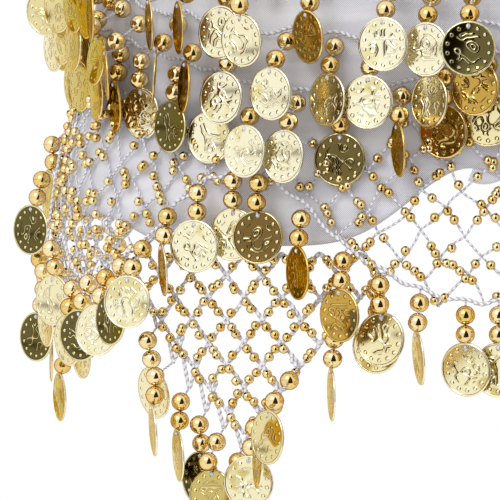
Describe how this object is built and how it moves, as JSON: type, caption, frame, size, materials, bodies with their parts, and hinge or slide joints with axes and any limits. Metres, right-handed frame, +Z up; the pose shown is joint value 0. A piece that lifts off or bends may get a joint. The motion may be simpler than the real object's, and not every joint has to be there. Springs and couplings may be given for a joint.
{
  "type": "coin hip scarf",
  "caption": "Sheer chiffon hip scarf tied at the back, hung with rows of beads and coins and two tiers of beaded crochet net, held in its worn form.",
  "frame": {"origin": "on the hips' axis, at the level where the tied band grips the hips", "axes": "+Z up as worn, the front faces -Y, +X to the wearer's left"},
  "size_m": [0.3817, 0.2804, 0.2551],
  "materials": {
    "chiffon": "sheer plain-weave chiffon, pale grey with a lilac cast",
    "crochet_cord": "crochet chain cord, off-white with a lavender cast",
    "gilt_brass": "thin stamped coins and plated beads, mirror gold"
  },
  "bodies": {
    "root": {"chiffon_wrap": "chiffon", "knot": "chiffon", "knot_end_1": "chiffon", "knot_end_2": "chiffon", "first_net_1": "crochet_cord", "first_net_2": "crochet_cord", "first_net_3": "crochet_cord", "first_net_4": "crochet_cord", "open_net_1": "crochet_cord", "open_net_2": "crochet_cord", "open_net_3": "crochet_cord", "open_net_4": "crochet_cord", "coin_row_a": "gilt_brass", "coin_row_b": "gilt_brass", "coin_row_c": "gilt_brass", "first_net_fringe_1": "gilt_brass", "first_net_fringe_2": "gilt_brass", "first_net_fringe_3": "gilt_brass", "first_net_fringe_4": "gilt_brass", "open_net_fringe_1": "gilt_brass", "open_net_fringe_2": "gilt_brass", "open_net_fringe_3": "gilt_brass", "open_net_fringe_4": "gilt_brass"}
  },
  "joints": []
}
